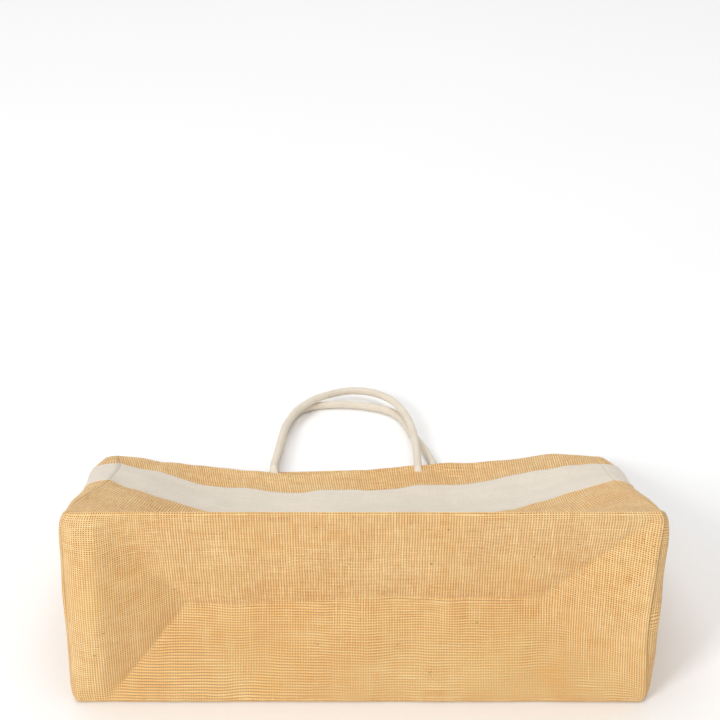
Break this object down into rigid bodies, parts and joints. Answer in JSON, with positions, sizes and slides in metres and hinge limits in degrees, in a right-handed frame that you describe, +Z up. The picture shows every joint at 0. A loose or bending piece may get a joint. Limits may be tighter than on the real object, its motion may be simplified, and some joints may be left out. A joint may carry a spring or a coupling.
{
  "type": "jute shopping bag",
  "caption": "Gusseted jute bag with a cotton band and rope handles, lying flat on its back with the mouth nearly closed.",
  "frame": {"origin": "centre of the flat underside of the back panel, on the floor", "axes": "+X across the bag, +Y from the base towards the mouth, +Z up"},
  "size_m": [0.467, 0.4482, 0.183],
  "materials": {
    "jute": "matte",
    "cotton_canvas": "matte",
    "rope_sleeve": "matte",
    "rope_filler": "matte"
  },
  "bodies": {
    "bag": {"base_panel": "jute", "back_lower_panel": "jute", "left_gusset_lower_panel": "jute", "right_gusset_lower_panel": "jute", "back_cotton_band": "cotton_canvas", "left_gusset_cotton_band": "cotton_canvas", "right_gusset_cotton_band": "cotton_canvas", "back_top_strip": "jute", "left_gusset_top_strip": "jute", "right_gusset_top_strip": "jute", "back_hem_fold": "jute", "back_handle_tail_left": "rope_sleeve", "back_handle_tail_right": "rope_sleeve"},
    "front": {"front_lower_panel": "jute", "front_cotton_band": "cotton_canvas", "front_top_strip": "jute", "front_hem_fold": "jute", "front_handle_tail_left": "rope_sleeve", "front_handle_tail_right": "rope_sleeve"},
    "front_handle": {"front_handle_sleeve": "rope_sleeve", "front_handle_core": "rope_filler"},
    "back_handle": {"back_handle_sleeve": "rope_sleeve", "back_handle_core": "rope_filler"}
  },
  "joints": [
    {"name": "mouth_open", "type": "hinge", "parent": "bag", "child": "front", "pos_m": [0, -0.1625, 0.182], "axis": [1, 0, 0], "range_deg": [0, 20]},
    {"name": "back_handle_swing", "type": "hinge", "parent": "bag", "child": "back_handle", "pos_m": [0, 0.1603, 0.0037], "axis": [1, 0, 0], "range_deg": [0, 90]},
    {"name": "front_handle_swing", "type": "hinge", "parent": "front", "child": "front_handle", "pos_m": [0, 0.1448, 0.0126], "axis": [1, 0, 0], "range_deg": [0, 90]}
  ],
  "couplings": [
    {"joint": "front_handle_swing", "follows": "back_handle_swing", "ratio": 1}
  ]
}
